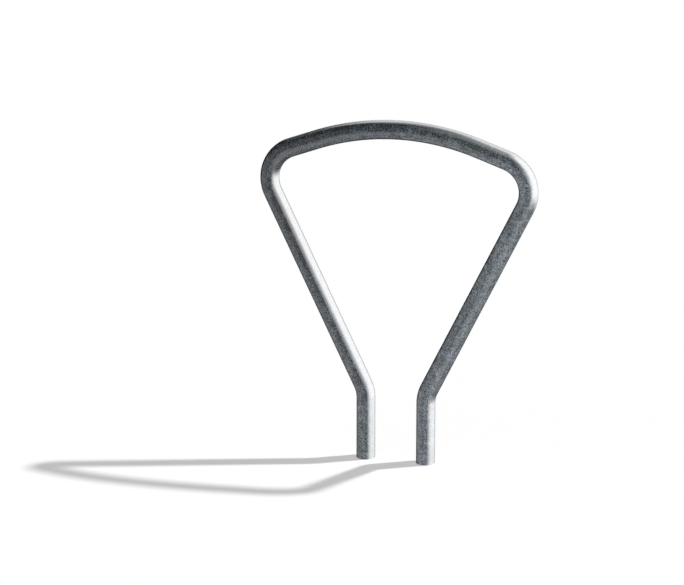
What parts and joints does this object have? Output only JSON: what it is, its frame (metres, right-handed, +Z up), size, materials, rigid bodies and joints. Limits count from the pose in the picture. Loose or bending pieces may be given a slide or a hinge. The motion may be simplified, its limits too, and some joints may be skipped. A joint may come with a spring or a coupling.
{
  "type": "bicycle rack",
  "caption": "Root-fixed bicycle rack of galvanised steel tube, bent into a hoop that tapers down to legs cast into the ground, for leaning and locking a bicycle.",
  "frame": {"origin": "on the ground line, midway between the legs' centre lines", "axes": "+Z up, X from leg to leg across the hoop, Y square to the hoop's plane"},
  "size_m": [0.7228, 0.18, 1.1348],
  "materials": {
    "galvanised_tube": "hot-dip galvanised, matt spangle",
    "galvanised_bar": "hot-dip galvanised ribbed bar"
  },
  "bodies": {
    "root": {"hoop_tube": "galvanised_tube", "left_anchor_bar": "galvanised_bar", "right_anchor_bar": "galvanised_bar"}
  },
  "joints": []
}
